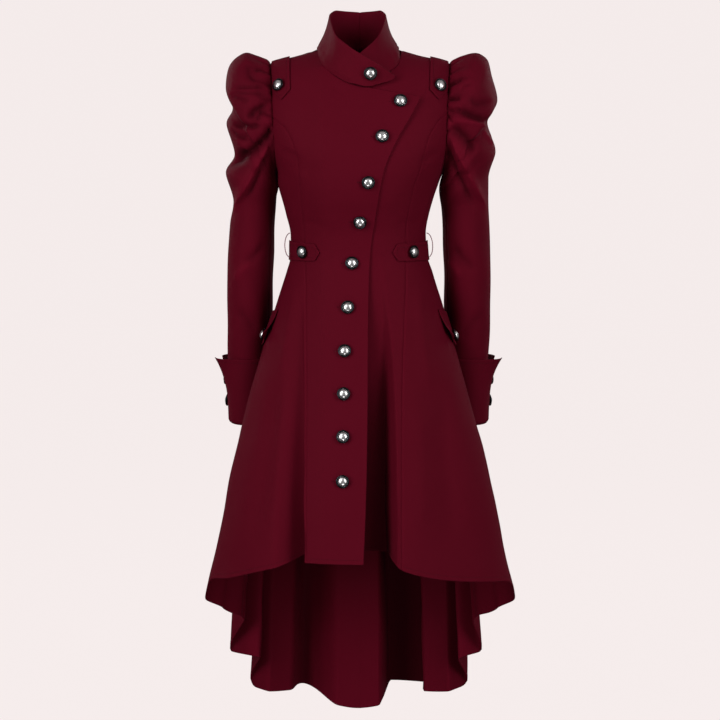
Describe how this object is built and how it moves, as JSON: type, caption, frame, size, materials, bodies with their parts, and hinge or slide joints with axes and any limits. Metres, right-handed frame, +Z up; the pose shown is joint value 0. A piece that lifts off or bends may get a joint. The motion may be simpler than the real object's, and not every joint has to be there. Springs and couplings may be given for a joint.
{
  "type": "long coat",
  "caption": "Long high-low coat with gathered sleeve heads, turned-back cuffs, a crossed stand collar and a slanting buttoned front, filled out as worn with no wearer.",
  "frame": {"origin": "centre of the neck base, level with the side neck points, where the wearer's shoulders and neck carry the coat", "axes": "+Z up, the front faces -Y, the wearer's left is +X"},
  "size_m": [0.5806, 0.5195, 1.3803],
  "materials": {
    "coat_cloth": "matte burgundy suiting twill with a slight sheen",
    "button_metal": "polished silver dome in a dark gunmetal rim",
    "loop_thread": "twisted burgundy thread"
  },
  "bodies": {
    "root": {"front_right": "coat_cloth", "front_left": "coat_cloth", "side_front_right": "coat_cloth", "side_front_left": "coat_cloth", "side_back_right": "coat_cloth", "side_back_left": "coat_cloth", "back_right": "coat_cloth", "back_left": "coat_cloth", "collar_right": "coat_cloth", "collar_left": "coat_cloth", "sleeve_top_right": "coat_cloth", "sleeve_top_left": "coat_cloth", "sleeve_under_right": "coat_cloth", "sleeve_under_left": "coat_cloth", "cuff_right": "coat_cloth", "cuff_left": "coat_cloth", "waist_tab_right": "coat_cloth", "waist_tab_left": "coat_cloth", "shoulder_tab_right": "coat_cloth", "shoulder_tab_left": "coat_cloth", "pocket_flap_right": "coat_cloth", "pocket_flap_left": "coat_cloth", "belt_loop_right": "loop_thread", "belt_loop_left": "loop_thread", "button_collar": "button_metal", "button_front_01": "button_metal", "button_front_02": "button_metal", "button_front_03": "button_metal", "button_front_04": "button_metal", "button_front_05": "button_metal", "button_front_06": "button_metal", "button_front_07": "button_metal", "button_front_08": "button_metal", "button_front_09": "button_metal", "button_front_10": "button_metal", "button_shoulder_right": "button_metal", "button_waist_right": "button_metal", "button_pocket_right": "button_metal", "button_cuff_right_1": "button_metal", "button_cuff_right_2": "button_metal", "button_shoulder_left": "button_metal", "button_waist_left": "button_metal", "button_pocket_left": "button_metal", "button_cuff_left_1": "button_metal", "button_cuff_left_2": "button_metal"}
  },
  "joints": []
}
